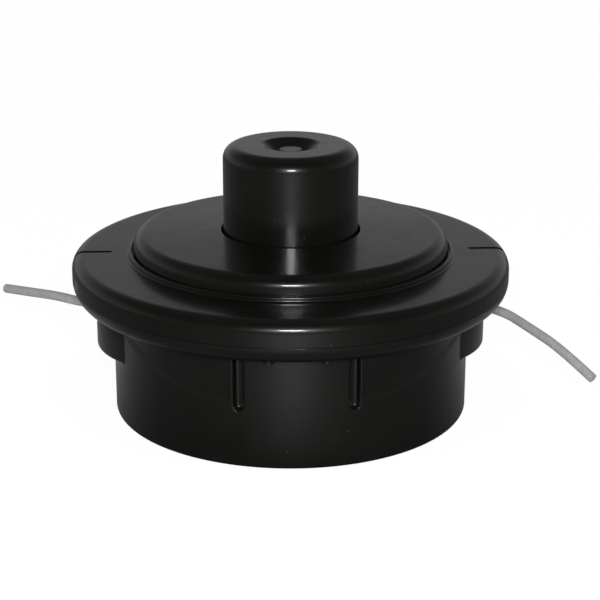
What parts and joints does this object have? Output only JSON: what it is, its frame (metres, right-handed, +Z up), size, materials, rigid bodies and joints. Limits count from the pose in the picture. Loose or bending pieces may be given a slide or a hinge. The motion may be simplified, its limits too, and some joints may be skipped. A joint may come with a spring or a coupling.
{
  "type": "bump feed trimmer head",
  "caption": "Round trimmer head that feeds cutting line when its knob is bumped: moulded cup with press tongues, clip-on flange, sprung spool with index dogs, dished knob.",
  "frame": {"origin": "centre of the arbor side, on the plane of the cup's lower rim", "axes": "+Z up the spindle axis to the knob, -Y out of the front press tongue, +X out of a line exit"},
  "size_m": [0.1507, 0.11, 0.0677],
  "materials": {
    "moulded_black": "glossy moulded nylon",
    "knob_black": "glossy moulded nylon",
    "spool_nylon": "satin moulded nylon",
    "plain_steel": "zinc plated",
    "nut_steel": "zinc plated, machined",
    "spring_steel": "drawn wire",
    "line_nylon": "drawn nylon, slightly clear"
  },
  "bodies": {
    "housing": {"housing": "moulded_black", "cover_rim": "moulded_black", "cover_disc": "moulded_black", "arbor_nut": "nut_steel", "lower_spring_washer": "plain_steel", "spring": "spring_steel", "left_eyelet": "plain_steel", "right_eyelet": "plain_steel", "left_line_tail": "line_nylon", "right_line_tail": "line_nylon"},
    "spring_seat": {"thrust_washer": "plain_steel"},
    "spool": {"spool": "spool_nylon", "bump_knob": "knob_black", "upper_line_winding": "line_nylon", "lower_line_winding": "line_nylon"}
  },
  "joints": [
    {"name": "bump_slide", "type": "slide", "parent": "housing", "child": "spring_seat", "axis": [0, 0, -1], "range_m": [0, 0.006], "stiffness_N_per_m": 1200, "springref_m": -0.015, "deforming": ["spring"]},
    {"name": "spool_index", "type": "hinge", "parent": "spring_seat", "child": "spool", "pos_m": [0, 0, 0], "axis": [0, 0, -1], "range_deg": [0, 15]}
  ],
  "couplings": [
    {"joint": "spool_index", "follows": "bump_slide", "rad_per_m": 43.63}
  ]
}
